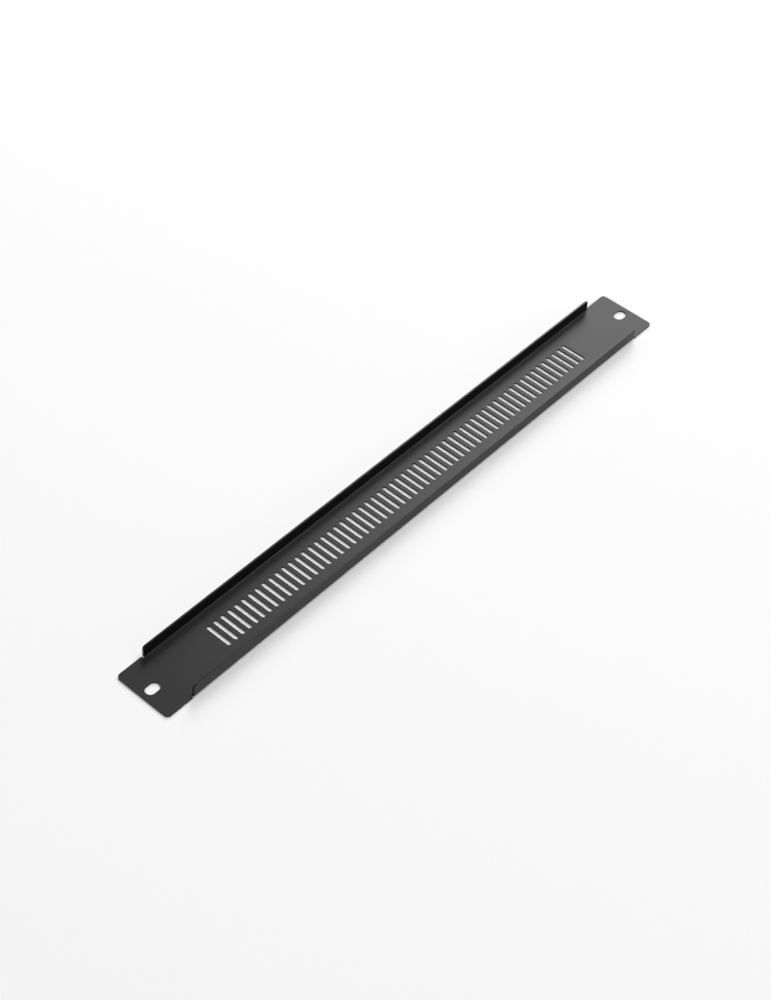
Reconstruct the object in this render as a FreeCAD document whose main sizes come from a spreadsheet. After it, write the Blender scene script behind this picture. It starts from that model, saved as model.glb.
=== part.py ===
# Vented blanking panel that closes one unit of a 19-inch rack.
# It is one piece of sheet steel: a flat face with an ear at each end, a flange folded up along
# each long edge, a relief notch where each fold stops, a mounting slot in each ear and a row
# of vents. Frame, in millimetres: origin in the middle of the front face, +X along the
# length, +Y across the height, +Z from the front face towards the flanges.

import FreeCAD, Part
import math
import os
import Sketcher
from FreeCAD import Vector

PART_NAME = "blanking_panel"

# Driving sizes, in millimetres apart from the count
DRIVING_SIZES = {
    "panel_length": 482.6,
    "panel_height": 43.6,
    "sheet_thickness": 1.2,
    "flange_depth": 10.0,
    "bend_radius": 0.6,
    "ear_length": 21.5,
    "ear_corner_radius": 3.0,
    "flange_corner_radius": 2.5,
    "relief_width": 0.8,
    "relief_past_bend": 0.2,
    "mounting_slot_inset": 8.75,
    "mounting_slot_length": 10.4,
    "mounting_slot_width": 7.2,
    "vent_count": 60,
    "vent_pitch": 6.0,
    "vent_length": 20.0,
    "vent_width": 3.0,
}

# Sizes that follow from the driving ones
DERIVED_SIZES = {
    "flange_length": "panel_length - 2 * ear_length",
    "notch_length": "flange_length + 2 * relief_width",
    "fold_line": "panel_height / 2 - bend_radius - sheet_thickness",
    "relief_line": "fold_line - relief_past_bend",
    "mounting_spacing": "panel_length - 2 * mounting_slot_inset",
    "vent_row_length": "(vent_count - 1) * vent_pitch",
}

# The sketcher's own numbers for its axes, its origin and the points of a line or arc
X_AXIS = -1
START = 1
END = 2
CENTRE = 3
ORIGIN = (X_AXIS, START)

Z_AXIS = Vector(0, 0, 1)
CLOSE = 1e-6


def make_sheet(doc):
    """The spreadsheet of sizes: names in column A, numbers and formulas in column B."""
    sheet = doc.addObject("Spreadsheet::Sheet", "Sizes")
    cells = {name: str(number) for name, number in DRIVING_SIZES.items()}
    cells.update({name: "=" + formula for name, formula in DERIVED_SIZES.items()})
    for row, (name, content) in enumerate(cells.items(), start=1):
        sheet.set(f"A{row}", name)
        sheet.set(f"B{row}", content)
        sheet.setAlias(f"B{row}", name)
    doc.recompute()
    return sheet


def origin_feature(body, role):
    """The body's own origin plane or axis that has this role."""
    return next(item for item in body.Origin.OriginFeatures if item.Role == role)


def add_sketch(body, name, plane):
    """An empty sketch on one of the body's origin planes."""
    sketch = body.newObject("Sketcher::SketchObject", name)
    sketch.AttachmentSupport = [(origin_feature(body, plane), "")]
    sketch.MapMode = "FlatFace"
    return sketch


def constrain(sketch, kind, *places):
    """A geometric constraint between places of the sketch."""
    sketch.addConstraint(Sketcher.Constraint(kind, *places))


def measure(sketch, kind, places, formula):
    """A distance or radius of the sketch that follows a formula of the sheet's sizes."""
    start_value = float(sketch.evalExpression(formula))
    index = sketch.addConstraint(Sketcher.Constraint(kind, *places, start_value))
    sketch.setExpression(f"Constraints[{index}]", formula)


def across(sketch, left, right, formula):
    """The level distance from a point to one on its right."""
    measure(sketch, "DistanceX", (*left, *right), formula)


def upward(sketch, low, high, formula):
    """The upright distance from a point to one above it."""
    measure(sketch, "DistanceY", (*low, *high), formula)


def draw_outline(sketch, corners):
    """A closed outline of level and upright lines, line i starting at corner i."""
    count = len(corners)
    for i, corner in enumerate(corners):
        line = Part.LineSegment(corner, corners[(i + 1) % count])
        sketch.addGeometry(line)
    for i, corner in enumerate(corners):
        following = (i + 1) % count
        level = abs(corner.y - corners[following].y) < CLOSE
        constrain(sketch, "Horizontal" if level else "Vertical", i)
        constrain(sketch, "Coincident", i, END, following, START)


def draw_slot(sketch, low, high, radius):
    """A round-ended slot: arc 0 about the high end, arc 1 about the low end, lines 2 and 3."""
    along = (high - low).normalize()
    side = along.cross(Z_AXIS) * radius
    turn = math.atan2(side.y, side.x)
    high_circle = Part.Circle(high, Z_AXIS, radius)
    low_circle = Part.Circle(low, Z_AXIS, radius)
    sketch.addGeometry(Part.ArcOfCircle(high_circle, turn, turn + math.pi))
    sketch.addGeometry(Part.ArcOfCircle(low_circle, turn + math.pi, turn + 2 * math.pi))
    sketch.addGeometry(Part.LineSegment(high - side, low - side))
    sketch.addGeometry(Part.LineSegment(low + side, high + side))
    constrain(sketch, "Tangent", 0, END, 2, START)
    constrain(sketch, "Tangent", 2, END, 1, START)
    constrain(sketch, "Tangent", 1, END, 3, START)
    constrain(sketch, "Tangent", 3, END, 0, START)
    constrain(sketch, "Equal", 0, 1)


def add_cut(body, name, sketch):
    """A pocket from the front face up through the whole sheet."""
    pocket = body.newObject("PartDesign::Pocket", name)
    pocket.Profile = sketch
    pocket.Type = "ThroughAll"
    pocket.Reversed = True
    body.Document.recompute()
    return pocket


def add_mirror(body, name, feature, plane):
    """The mirror image of a feature in one of the body's origin planes."""
    mirrored = body.newObject("PartDesign::Mirrored", name)
    mirrored.Originals = [feature]
    mirrored.MirrorPlane = (origin_feature(body, plane), [""])
    body.Tip = mirrored
    body.Document.recompute()
    return mirrored


def add_fillet(body, name, base, edges, radius):
    """A fillet of a named radius on the given edges of the base feature."""
    fillet = body.newObject("PartDesign::Fillet", name)
    fillet.Base = (base, edges)
    fillet.setExpression("Radius", radius)
    body.Document.recompute()
    return fillet


def edges_along(shape, axis, passes):
    """Names of the straight edges along an axis whose middle passes a test."""
    names = []
    for number, edge in enumerate(shape.Edges, start=1):
        run = edge.Vertexes[-1].Point - edge.Vertexes[0].Point
        parallel = run.Length > CLOSE and run.cross(axis).Length < CLOSE
        if parallel and passes(edge.CenterOfMass):
            names.append(f"Edge{number}")
    return names


def add_face(body, size):
    """The flat sheet of the face and both ears, with its four outer corners rounded."""
    sketch = add_sketch(body, "face_outline", "XY_Plane")
    reach = size("panel_length") / 2
    half_height = size("panel_height") / 2
    draw_outline(sketch, [
        Vector(-reach, -half_height),
        Vector(reach, -half_height),
        Vector(reach, half_height),
        Vector(-reach, half_height),
    ])
    constrain(sketch, "Symmetric", 0, START, 2, START, *ORIGIN)
    across(sketch, (0, START), (0, END), "Sizes.panel_length")
    upward(sketch, (1, START), (1, END), "Sizes.panel_height")

    face = body.newObject("PartDesign::Pad", "face")
    face.Profile = sketch
    face.setExpression("Length", "Sizes.sheet_thickness")
    body.Document.recompute()

    corners = edges_along(face.Shape, Z_AXIS, lambda middle: True)
    add_fillet(body, "ear_corners", face, corners, "Sizes.ear_corner_radius")


def add_fold_notches(body, size):
    """The edge strip that each fold takes the place of, and the relief notch at its ends."""
    sketch = add_sketch(body, "fold_notch_outline", "XY_Plane")
    notch_end = size("notch_length") / 2
    flange_end = size("flange_length") / 2
    edge = size("panel_height") / 2
    fold = size("fold_line")
    relief = size("relief_line")
    draw_outline(sketch, [
        Vector(-notch_end, edge),
        Vector(-notch_end, relief),
        Vector(-flange_end, relief),
        Vector(-flange_end, fold),
        Vector(flange_end, fold),
        Vector(flange_end, relief),
        Vector(notch_end, relief),
        Vector(notch_end, edge),
    ])
    across(sketch, (0, START), ORIGIN, "Sizes.notch_length / 2")
    across(sketch, ORIGIN, (7, START), "Sizes.notch_length / 2")
    across(sketch, (3, START), ORIGIN, "Sizes.flange_length / 2")
    across(sketch, ORIGIN, (3, END), "Sizes.flange_length / 2")
    upward(sketch, ORIGIN, (0, START), "Sizes.panel_height / 2")
    upward(sketch, ORIGIN, (3, START), "Sizes.fold_line")
    upward(sketch, ORIGIN, (1, START), "Sizes.relief_line")
    upward(sketch, ORIGIN, (5, START), "Sizes.relief_line")

    notch = add_cut(body, "fold_notch", sketch)
    add_mirror(body, "fold_notches", notch, "XZ_Plane")


def add_flanges(body, size):
    """Both flanges with their bends, drawn as a section across the panel."""
    sketch = add_sketch(body, "flange_section", "YZ_Plane")
    inner_radius = size("bend_radius")
    outer_radius = inner_radius + size("sheet_thickness")
    outside = size("panel_height") / 2
    inside = outside - size("sheet_thickness")
    top = size("flange_depth")
    bend_centre = Vector(size("fold_line"), outer_radius)
    outer_circle = Part.Circle(bend_centre, Z_AXIS, outer_radius)
    inner_circle = Part.Circle(bend_centre, Z_AXIS, inner_radius)
    quarter = math.pi / 2

    # Geometry 0 to 5: outer bend, outside, top edge, inside, inner bend, seam with the face
    sketch.addGeometry(Part.ArcOfCircle(outer_circle, -quarter, 0))
    sketch.addGeometry(Part.LineSegment(Vector(outside, outer_radius), Vector(outside, top)))
    sketch.addGeometry(Part.LineSegment(Vector(outside, top), Vector(inside, top)))
    sketch.addGeometry(Part.LineSegment(Vector(inside, top), Vector(inside, outer_radius)))
    sketch.addGeometry(Part.ArcOfCircle(inner_circle, -quarter, 0))
    seam_top = Vector(bend_centre.x, outer_radius - inner_radius)
    sketch.addGeometry(Part.LineSegment(seam_top, Vector(bend_centre.x, 0)))

    constrain(sketch, "Tangent", 0, END, 1, START)
    constrain(sketch, "Coincident", 1, END, 2, START)
    constrain(sketch, "Coincident", 2, END, 3, START)
    constrain(sketch, "Tangent", 3, END, 4, END)
    constrain(sketch, "Coincident", 4, START, 5, START)
    constrain(sketch, "Coincident", 5, END, 0, START)
    constrain(sketch, "Coincident", 0, CENTRE, 4, CENTRE)
    constrain(sketch, "Vertical", 1)
    constrain(sketch, "Horizontal", 2)
    constrain(sketch, "Vertical", 3)
    constrain(sketch, "Vertical", 5)
    constrain(sketch, "Vertical", 0, START, 0, CENTRE)
    constrain(sketch, "PointOnObject", 0, START, X_AXIS)
    across(sketch, ORIGIN, (1, START), "Sizes.panel_height / 2")
    across(sketch, (2, END), (2, START), "Sizes.sheet_thickness")
    upward(sketch, ORIGIN, (1, END), "Sizes.flange_depth")
    measure(sketch, "Radius", (4,), "Sizes.bend_radius")

    flange = body.newObject("PartDesign::Pad", "flange")
    flange.Profile = sketch
    flange.SideType = "Symmetric"
    flange.setExpression("Length", "Sizes.flange_length")
    flanges = add_mirror(body, "flanges", flange, "XZ_Plane")

    corners = edges_along(flanges.Shape, Vector(0, 1, 0), lambda middle: abs(middle.z - top) < CLOSE)
    add_fillet(body, "flange_corners", flanges, corners, "Sizes.flange_corner_radius")


def add_mounting_slots(body, size):
    """A round-ended slot through each ear, long across the rack's rail."""
    sketch = add_sketch(body, "mounting_slot_outline", "XY_Plane")
    radius = size("mounting_slot_width") / 2
    half_run = size("mounting_slot_length") / 2 - radius
    middle = size("mounting_spacing") / 2
    draw_slot(sketch, Vector(middle - half_run, 0), Vector(middle + half_run, 0), radius)
    constrain(sketch, "PointOnObject", 0, CENTRE, X_AXIS)
    constrain(sketch, "PointOnObject", 1, CENTRE, X_AXIS)
    spread = "(Sizes.mounting_slot_length - Sizes.mounting_slot_width) / 2"
    across(sketch, ORIGIN, (0, CENTRE), f"Sizes.mounting_spacing / 2 + {spread}")
    across(sketch, ORIGIN, (1, CENTRE), f"Sizes.mounting_spacing / 2 - {spread}")
    measure(sketch, "Radius", (0,), "Sizes.mounting_slot_width / 2")

    slot = add_cut(body, "mounting_slot", sketch)
    add_mirror(body, "mounting_slots", slot, "YZ_Plane")


def add_vents(body, size):
    """The row of vents: one slot at the row's start, repeated along the panel."""
    sketch = add_sketch(body, "vent_outline", "XY_Plane")
    radius = size("vent_width") / 2
    half_run = size("vent_length") / 2 - radius
    first = -size("vent_row_length") / 2
    draw_slot(sketch, Vector(first, -half_run), Vector(first, half_run), radius)
    constrain(sketch, "Symmetric", 0, CENTRE, 1, CENTRE, X_AXIS)
    across(sketch, (0, CENTRE), ORIGIN, "Sizes.vent_row_length / 2")
    upward(sketch, (1, CENTRE), (0, CENTRE), "Sizes.vent_length - Sizes.vent_width")
    measure(sketch, "Radius", (0,), "Sizes.vent_width / 2")

    vent = add_cut(body, "vent", sketch)
    row = body.newObject("PartDesign::LinearPattern", "vent_row")
    row.Originals = [vent]
    row.Direction = (origin_feature(body, "X_Axis"), [""])
    row.setExpression("Length", "Sizes.vent_row_length")
    row.setExpression("Occurrences", "Sizes.vent_count")
    body.Tip = row
    body.Document.recompute()


def check_model(doc, body):
    """Stops if a feature failed, a cut took nothing away or the piece isn't one sound solid."""
    for item in doc.Objects:
        if "Invalid" in item.State or "Error" in item.State:
            raise RuntimeError(f"{item.Label} did not build: {item.State}")
    for feature in body.Group:
        if feature.isDerivedFrom("PartDesign::Pocket"):
            if feature.Shape.Volume > feature.BaseFeature.Shape.Volume - CLOSE:
                raise RuntimeError(f"{feature.Label} cuts nothing")
    shape = body.Shape
    if shape.isNull() or not shape.isValid() or len(shape.Solids) != 1:
        raise RuntimeError(f"{body.Label} is not one sound solid")


def main():
    doc = FreeCAD.newDocument("rack_blanking_panel")
    sheet = make_sheet(doc)

    def size(name):
        return float(sheet.get(name))

    body = doc.addObject("PartDesign::Body", PART_NAME)
    body.Label = PART_NAME
    body.Placement = FreeCAD.Placement()
    add_face(body, size)
    add_fold_notches(body, size)
    add_flanges(body, size)
    add_mounting_slots(body, size)
    add_vents(body, size)
    doc.recompute()
    check_model(doc, body)

    os.makedirs("parts", exist_ok=True)
    body.Shape.exportStep(f"parts/{body.Label}.step")
    box = body.Shape.BoundBox
    print(f"{body.Label}: {box.XLength:.2f} x {box.YLength:.2f} x {box.ZLength:.2f} mm,"
          f" {body.Shape.Volume:.0f} mm3, {len(body.Shape.Faces)} faces")


main()
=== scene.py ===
# Vented blanking panel for a 19-inch rack: one folded sheet of steel with a satin black powder
# coat, lying on its front face with the flanges up. Origin in the middle of the front face, +X
# along the length, +Y across the height, +Z from the front face towards the flanges.

import math

import bmesh
import bpy
from mathutils import Euler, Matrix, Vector


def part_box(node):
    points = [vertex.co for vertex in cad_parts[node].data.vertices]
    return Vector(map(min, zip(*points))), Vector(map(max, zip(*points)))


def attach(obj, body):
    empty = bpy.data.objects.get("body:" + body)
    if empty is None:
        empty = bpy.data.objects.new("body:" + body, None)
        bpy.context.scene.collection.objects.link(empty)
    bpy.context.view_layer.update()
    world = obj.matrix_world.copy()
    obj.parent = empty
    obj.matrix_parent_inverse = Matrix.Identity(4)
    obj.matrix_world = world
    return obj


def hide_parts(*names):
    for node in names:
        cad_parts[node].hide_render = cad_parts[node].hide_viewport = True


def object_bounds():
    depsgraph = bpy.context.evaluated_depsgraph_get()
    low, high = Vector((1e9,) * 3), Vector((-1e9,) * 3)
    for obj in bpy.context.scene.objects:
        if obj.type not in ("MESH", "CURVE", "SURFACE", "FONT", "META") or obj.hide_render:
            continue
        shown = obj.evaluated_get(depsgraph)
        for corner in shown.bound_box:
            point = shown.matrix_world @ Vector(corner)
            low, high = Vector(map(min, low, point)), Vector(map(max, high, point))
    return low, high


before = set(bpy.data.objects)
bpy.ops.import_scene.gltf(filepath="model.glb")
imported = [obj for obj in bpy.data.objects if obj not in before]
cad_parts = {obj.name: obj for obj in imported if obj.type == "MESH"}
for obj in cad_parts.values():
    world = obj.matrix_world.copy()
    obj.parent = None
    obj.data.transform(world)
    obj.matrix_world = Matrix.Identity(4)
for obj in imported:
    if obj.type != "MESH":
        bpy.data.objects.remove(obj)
cad_low, cad_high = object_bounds()

MM = 0.001

# Overall sizes come from the frame
NODE = "blanking_panel"
node_low, node_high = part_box(NODE)
PANEL_LENGTH = node_high.x - node_low.x
PANEL_HEIGHT = node_high.y - node_low.y
FLANGE_DEPTH = node_high.z - node_low.z

# The sheet and its folds
SHEET = 1.2 * MM
SHEET_MIDDLE = SHEET / 2
BEND_RADIUS = 0.6 * MM
EAR_LENGTH = 21.5 * MM
EAR_CORNER = 3.0 * MM
FLANGE_CORNER = 2.5 * MM
RELIEF_WIDTH = 0.8 * MM
RELIEF_PAST_BEND = 0.2 * MM

# The holes
SLOT_INSET = 8.75 * MM
SLOT_LENGTH = 10.4 * MM
SLOT_WIDTH = 7.2 * MM
VENT_COUNT = 60
VENT_PITCH = 6.0 * MM
VENT_LENGTH = 20.0 * MM
VENT_WIDTH = 3.0 * MM

# Lines that follow from these sizes, as distances from the middle of the panel
END_LINE = PANEL_LENGTH / 2
EDGE_LINE = PANEL_HEIGHT / 2
FLANGE_END = END_LINE - EAR_LENGTH
NOTCH_END = FLANGE_END + RELIEF_WIDTH
FOLD_LINE = EDGE_LINE - BEND_RADIUS - SHEET
RELIEF_LINE = FOLD_LINE - RELIEF_PAST_BEND

# The coat rounds each cut edge a little. A cut edge is one that turns by more than this angle.
COATED_EDGE = 0.1 * MM
CUT_EDGE_TURN = math.radians(50)

# How many steps each kind of arc is drawn with
EDGE_STEPS = 2
BEND_STEPS = 8
CORNER_STEPS = 10

# Points nearer than this are in the same place
SAME_PLACE = 0.01 * MM

UP = Vector((0, 0, 1))


def colour(hex_code):
    """An sRGB hex colour as the linear numbers that Blender works in, with alpha 1."""
    channels = [int(hex_code[i:i + 2], 16) / 255 for i in (1, 3, 5)]
    linear = [c / 12.92 if c <= 0.04045 else ((c + 0.055) / 1.055) ** 2.4 for c in channels]
    return (*linear, 1.0)


def add_node(tree, kind, settings=None, inputs=None, links=None):
    """A node with its settings and input values, linked from (node, output name) pairs."""
    node = tree.nodes.new(kind)
    for name, value in (settings or {}).items():
        setattr(node, name, value)
    for name, value in (inputs or {}).items():
        node.inputs[name].default_value = value
    for name, (source, output) in (links or {}).items():
        tree.links.new(source.outputs[output], node.inputs[name])
    return node


def new_material(name):
    """An empty node material and its tree."""
    material = bpy.data.materials.new(name)
    material.use_nodes = True
    material.node_tree.nodes.clear()
    return material, material.node_tree


def satin_powder_coat():
    """Black polyester powder coat, sprayed dry and baked on steel. The melt leaves a low orange
    peel about a millimetre across and a fine grit, so lights blur into a broad satin sheen. The
    real grit is finer still, and is drawn this coarse so that it shows close up."""
    peel_width = 1.1 * MM
    peel_depth = 0.02 * MM
    grit_width = 0.35 * MM
    grit_depth = 0.01 * MM
    material, tree = new_material("satin_powder_coat")
    place = add_node(tree, "ShaderNodeTexCoord")
    peel = add_node(tree, "ShaderNodeTexNoise", settings={"noise_dimensions": "3D"},
                    inputs={"Scale": 1 / peel_width, "Detail": 1.0, "Roughness": 0.5},
                    links={"Vector": (place, "Object")})
    grit = add_node(tree, "ShaderNodeTexNoise", settings={"noise_dimensions": "3D"},
                    inputs={"Scale": 1 / grit_width, "Detail": 2.0, "Roughness": 0.6},
                    links={"Vector": (place, "Object")})
    sheen_spread = add_node(tree, "ShaderNodeMapRange",
                            inputs={"From Min": 0.3, "From Max": 0.7,
                                    "To Min": 0.36, "To Max": 0.44},
                            links={"Value": (grit, "Fac")})
    tint = add_node(tree, "ShaderNodeMix", settings={"data_type": "RGBA"},
                    inputs={"A": colour("#1B1B1D"), "B": colour("#1F1F21")},
                    links={"Factor": (grit, "Fac")})
    peel_bump = add_node(tree, "ShaderNodeBump",
                         inputs={"Strength": 0.12, "Distance": peel_depth},
                         links={"Height": (peel, "Fac")})
    grit_bump = add_node(tree, "ShaderNodeBump",
                         inputs={"Strength": 0.25, "Distance": grit_depth},
                         links={"Height": (grit, "Fac"), "Normal": (peel_bump, "Normal")})

    # Polyester's own IOR is about 1.5, and this lower one matches how weakly the coat mirrors
    coat = add_node(tree, "ShaderNodeBsdfPrincipled",
                    inputs={"IOR": 1.325},
                    links={"Base Color": (tint, "Result"), "Roughness": (sheen_spread, "Result"),
                           "Normal": (grit_bump, "Normal")})
    add_node(tree, "ShaderNodeOutputMaterial", links={"Surface": (coat, "BSDF")})
    return material


def white_paper_sweep():
    """Matt white background paper, lit from below through a translucent table top. What is seen
    of it, straight or in the coat's sheen, is part its own glow, so its shadows stay pale."""
    glow_strength = 0.98
    glow_share = 0.13
    material, tree = new_material("white_paper")
    paper = add_node(tree, "ShaderNodeBsdfDiffuse", inputs={"Color": colour("#FDFDFD")})
    glow = add_node(tree, "ShaderNodeEmission", inputs={"Strength": glow_strength})
    ray = add_node(tree, "ShaderNodeLightPath")
    seen_or_mirrored = add_node(tree, "ShaderNodeMath", settings={"operation": "ADD"},
                                links={0: (ray, "Is Camera Ray"), 1: (ray, "Is Glossy Ray")})
    seen_at_all = add_node(tree, "ShaderNodeMath",
                           settings={"operation": "ADD", "use_clamp": True},
                           links={0: (seen_or_mirrored, "Value"),
                                  1: (ray, "Is Transmission Ray")})
    seen_glow = add_node(tree, "ShaderNodeMath", settings={"operation": "MULTIPLY"},
                         inputs={1: glow_share}, links={0: (seen_at_all, "Value")})
    mixed = add_node(tree, "ShaderNodeMixShader",
                     links={0: (seen_glow, "Value"), 1: (paper, "BSDF"), 2: (glow, "Emission")})
    add_node(tree, "ShaderNodeOutputMaterial", links={"Surface": (mixed, "Shader")})
    return material


def round_corners(bm, verts, radius):
    """Rounds flat corners of an outline with arcs of a radius."""
    bmesh.ops.bevel(bm, geom=verts, offset=radius, offset_type="OFFSET", affect="VERTICES",
                    segments=CORNER_STEPS, profile=0.5, material=-1, clamp_overlap=False)


def add_flat(bm, corners):
    """A flat face halfway through the sheet, through corners given as (x, y)."""
    verts = [bm.verts.new((x, y, SHEET_MIDDLE)) for x, y in corners]
    bm.faces.new(verts)


def add_hole_outline(bm, centre_x, size_x, size_y):
    """A flat face in the outline of a round-ended hole: a rectangle with fully rounded ends."""
    left = centre_x - size_x / 2
    right = centre_x + size_x / 2
    top = size_y / 2
    before = set(bm.verts)
    add_flat(bm, [(left, -top), (right, -top), (right, top), (left, top)])
    corners = [v for v in bm.verts if v not in before]
    round_corners(bm, corners, min(size_x, size_y) / 2)


def cut_blank(bm):
    """The outline of the face and both ears, with a relief notch beside each fold line."""
    quarter = [(END_LINE, EDGE_LINE), (NOTCH_END, EDGE_LINE), (NOTCH_END, RELIEF_LINE),
               (FLANGE_END, RELIEF_LINE), (FLANGE_END, FOLD_LINE)]
    outline = quarter + [(-x, y) for x, y in reversed(quarter)]
    outline += [(-x, -y) for x, y in quarter] + [(x, -y) for x, y in reversed(quarter)]
    add_flat(bm, outline)
    ear_corners = [v for v in bm.verts if abs(abs(v.co.x) - END_LINE) < SAME_PLACE]
    round_corners(bm, ear_corners, EAR_CORNER)


def punch_holes(bm):
    """A slot in each ear and the row of vents, then the sheet filled in between the outlines."""
    for side in (-1, 1):
        add_hole_outline(bm, side * (END_LINE - SLOT_INSET), SLOT_LENGTH, SLOT_WIDTH)
    first_vent = -(VENT_COUNT - 1) * VENT_PITCH / 2
    for i in range(VENT_COUNT):
        add_hole_outline(bm, first_vent + i * VENT_PITCH, VENT_WIDTH, VENT_LENGTH)
    bmesh.ops.remove_doubles(bm, verts=bm.verts, dist=SAME_PLACE)
    bmesh.ops.delete(bm, geom=bm.faces, context="FACES_ONLY")
    bmesh.ops.triangle_fill(bm, use_beauty=True, use_dissolve=False, edges=bm.edges, normal=UP)


def fold_flange(bm, side):
    """One long edge turned up through its bend, then run straight to the flange's edge."""
    fold_y = side * FOLD_LINE
    fold_edges = [e for e in bm.edges if all(abs(v.co.y - fold_y) < SAME_PLACE for v in e.verts)]
    fold_verts = list({v for e in fold_edges for v in e.verts})
    bend = bmesh.ops.spin(bm, geom=fold_edges + fold_verts, cent=(0, fold_y, SHEET + BEND_RADIUS),
                          axis=(side, 0, 0), angle=math.pi / 2, steps=BEND_STEPS,
                          use_duplicate=False)
    bend_top = [item for item in bend["geom_last"] if isinstance(item, bmesh.types.BMEdge)]
    flange = bmesh.ops.extrude_edge_only(bm, edges=bend_top)
    flange_top = [item for item in flange["geom"] if isinstance(item, bmesh.types.BMVert)]
    for vert in flange_top:
        vert.co.z = FLANGE_DEPTH
    flange_corners = [v for v in flange_top if abs(abs(v.co.x) - FLANGE_END) < SAME_PLACE]
    round_corners(bm, flange_corners, FLANGE_CORNER)


def make_sheet_middle():
    """The folded sheet as a surface halfway through its thickness, before it has any."""
    bm = bmesh.new()
    cut_blank(bm)
    punch_holes(bm)
    for side in (-1, 1):
        fold_flange(bm, side)
    bmesh.ops.recalc_face_normals(bm, faces=bm.faces)
    if sum(f.normal.z * f.calc_area() for f in bm.faces) < 0:
        bmesh.ops.reverse_faces(bm, faces=bm.faces)
    return bm


def add_object(name, data):
    """A new object in the scene."""
    added = bpy.data.objects.new(name, data)
    bpy.context.scene.collection.objects.link(added)
    return added


def add_mesh(name, bm, material):
    """A new object in the scene, with a finished bmesh as its mesh and one material."""
    mesh = bpy.data.meshes.new(name)
    bm.to_mesh(mesh)
    bm.free()
    mesh.materials.append(material)
    return add_object(name, mesh)


def make_panel():
    """The folded panel: the middle surface given its thickness, with softly rounded edges."""
    panel = add_mesh("folded_panel", make_sheet_middle(), satin_powder_coat())
    panel.data.shade_smooth()

    thickness = panel.modifiers.new("sheet thickness", "SOLIDIFY")
    thickness.thickness = SHEET
    thickness.offset = 0
    thickness.use_even_offset = True
    thickness.use_quality_normals = True
    coated_edges = panel.modifiers.new("coated edges", "BEVEL")
    coated_edges.width = COATED_EDGE
    coated_edges.segments = EDGE_STEPS
    coated_edges.limit_method = "ANGLE"
    coated_edges.angle_limit = CUT_EDGE_TURN
    coated_edges.harden_normals = True

    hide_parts(NODE)
    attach(panel, "root")


def add_floor():
    """The white sweep that the panel lies on, in the plane of its front face."""
    half_side = 4.0
    bm = bmesh.new()
    bmesh.ops.create_grid(bm, x_segments=1, y_segments=1, size=half_side)
    floor = add_mesh("floor", bm, white_paper_sweep())
    floor.location.z = cad_low.z


def add_softbox(name, azimuth, elevation, width, height, power):
    """A flat soft light that faces the panel from far enough off to light it evenly. Angles are
    in degrees, and azimuth turns from +X towards +Y. Sizes are in metres, power in watts."""
    distance = 7.0
    a = math.radians(azimuth)
    e = math.radians(elevation)
    away = Vector((math.cos(a) * math.cos(e), math.sin(a) * math.cos(e), math.sin(e)))
    lamp = bpy.data.lights.new(name, "AREA")
    lamp.shape = "RECTANGLE"
    lamp.size = width
    lamp.size_y = height
    lamp.energy = power
    softbox = add_object(name, lamp)
    softbox.location = away * distance
    softbox.rotation_euler = away.to_track_quat("Z", "Y").to_euler()


def set_world(strength):
    """An even, dim studio round the table."""
    world = bpy.data.worlds.new("studio")
    bpy.context.scene.world = world
    world.use_nodes = True
    tree = world.node_tree
    tree.nodes.clear()
    walls = add_node(tree, "ShaderNodeBackground",
                     inputs={"Color": colour("#FFFFFF"), "Strength": strength})
    add_node(tree, "ShaderNodeOutputWorld", links={"Surface": (walls, "Background")})


def add_camera():
    """The photograph's view: from above, past the panel's left end and near edge."""
    place = (-0.692428, -0.513523, 0.913974)
    turn = Euler((0.744849, -0.060555, -0.850108))
    lens_mm = 68.973
    sensor_mm = 36.0
    camera_data = bpy.data.cameras.new("camera")
    camera_data.lens = lens_mm
    camera_data.sensor_width = sensor_mm
    camera = add_object("camera", camera_data)
    camera.location = place
    camera.rotation_euler = turn
    bpy.context.scene.camera = camera


make_panel()
add_floor()

# The two softboxes give the face its sheen, paler towards the right end, and the three weak
# lights fill in the other sides
set_world(strength=0.1)
add_softbox("overhead softbox", azimuth=-10, elevation=58, width=2.8, height=2.6, power=264)
add_softbox("key softbox", azimuth=31, elevation=32, width=3.2, height=4.5, power=334)
add_softbox("left light", azimuth=180, elevation=35, width=2.6, height=2.6, power=49)
add_softbox("low front light", azimuth=-45, elevation=15, width=2.6, height=2.6, power=40)
add_softbox("back light", azimuth=120, elevation=35, width=2.6, height=2.6, power=30)
add_camera()
bpy.context.scene.view_settings.view_transform = "Standard"
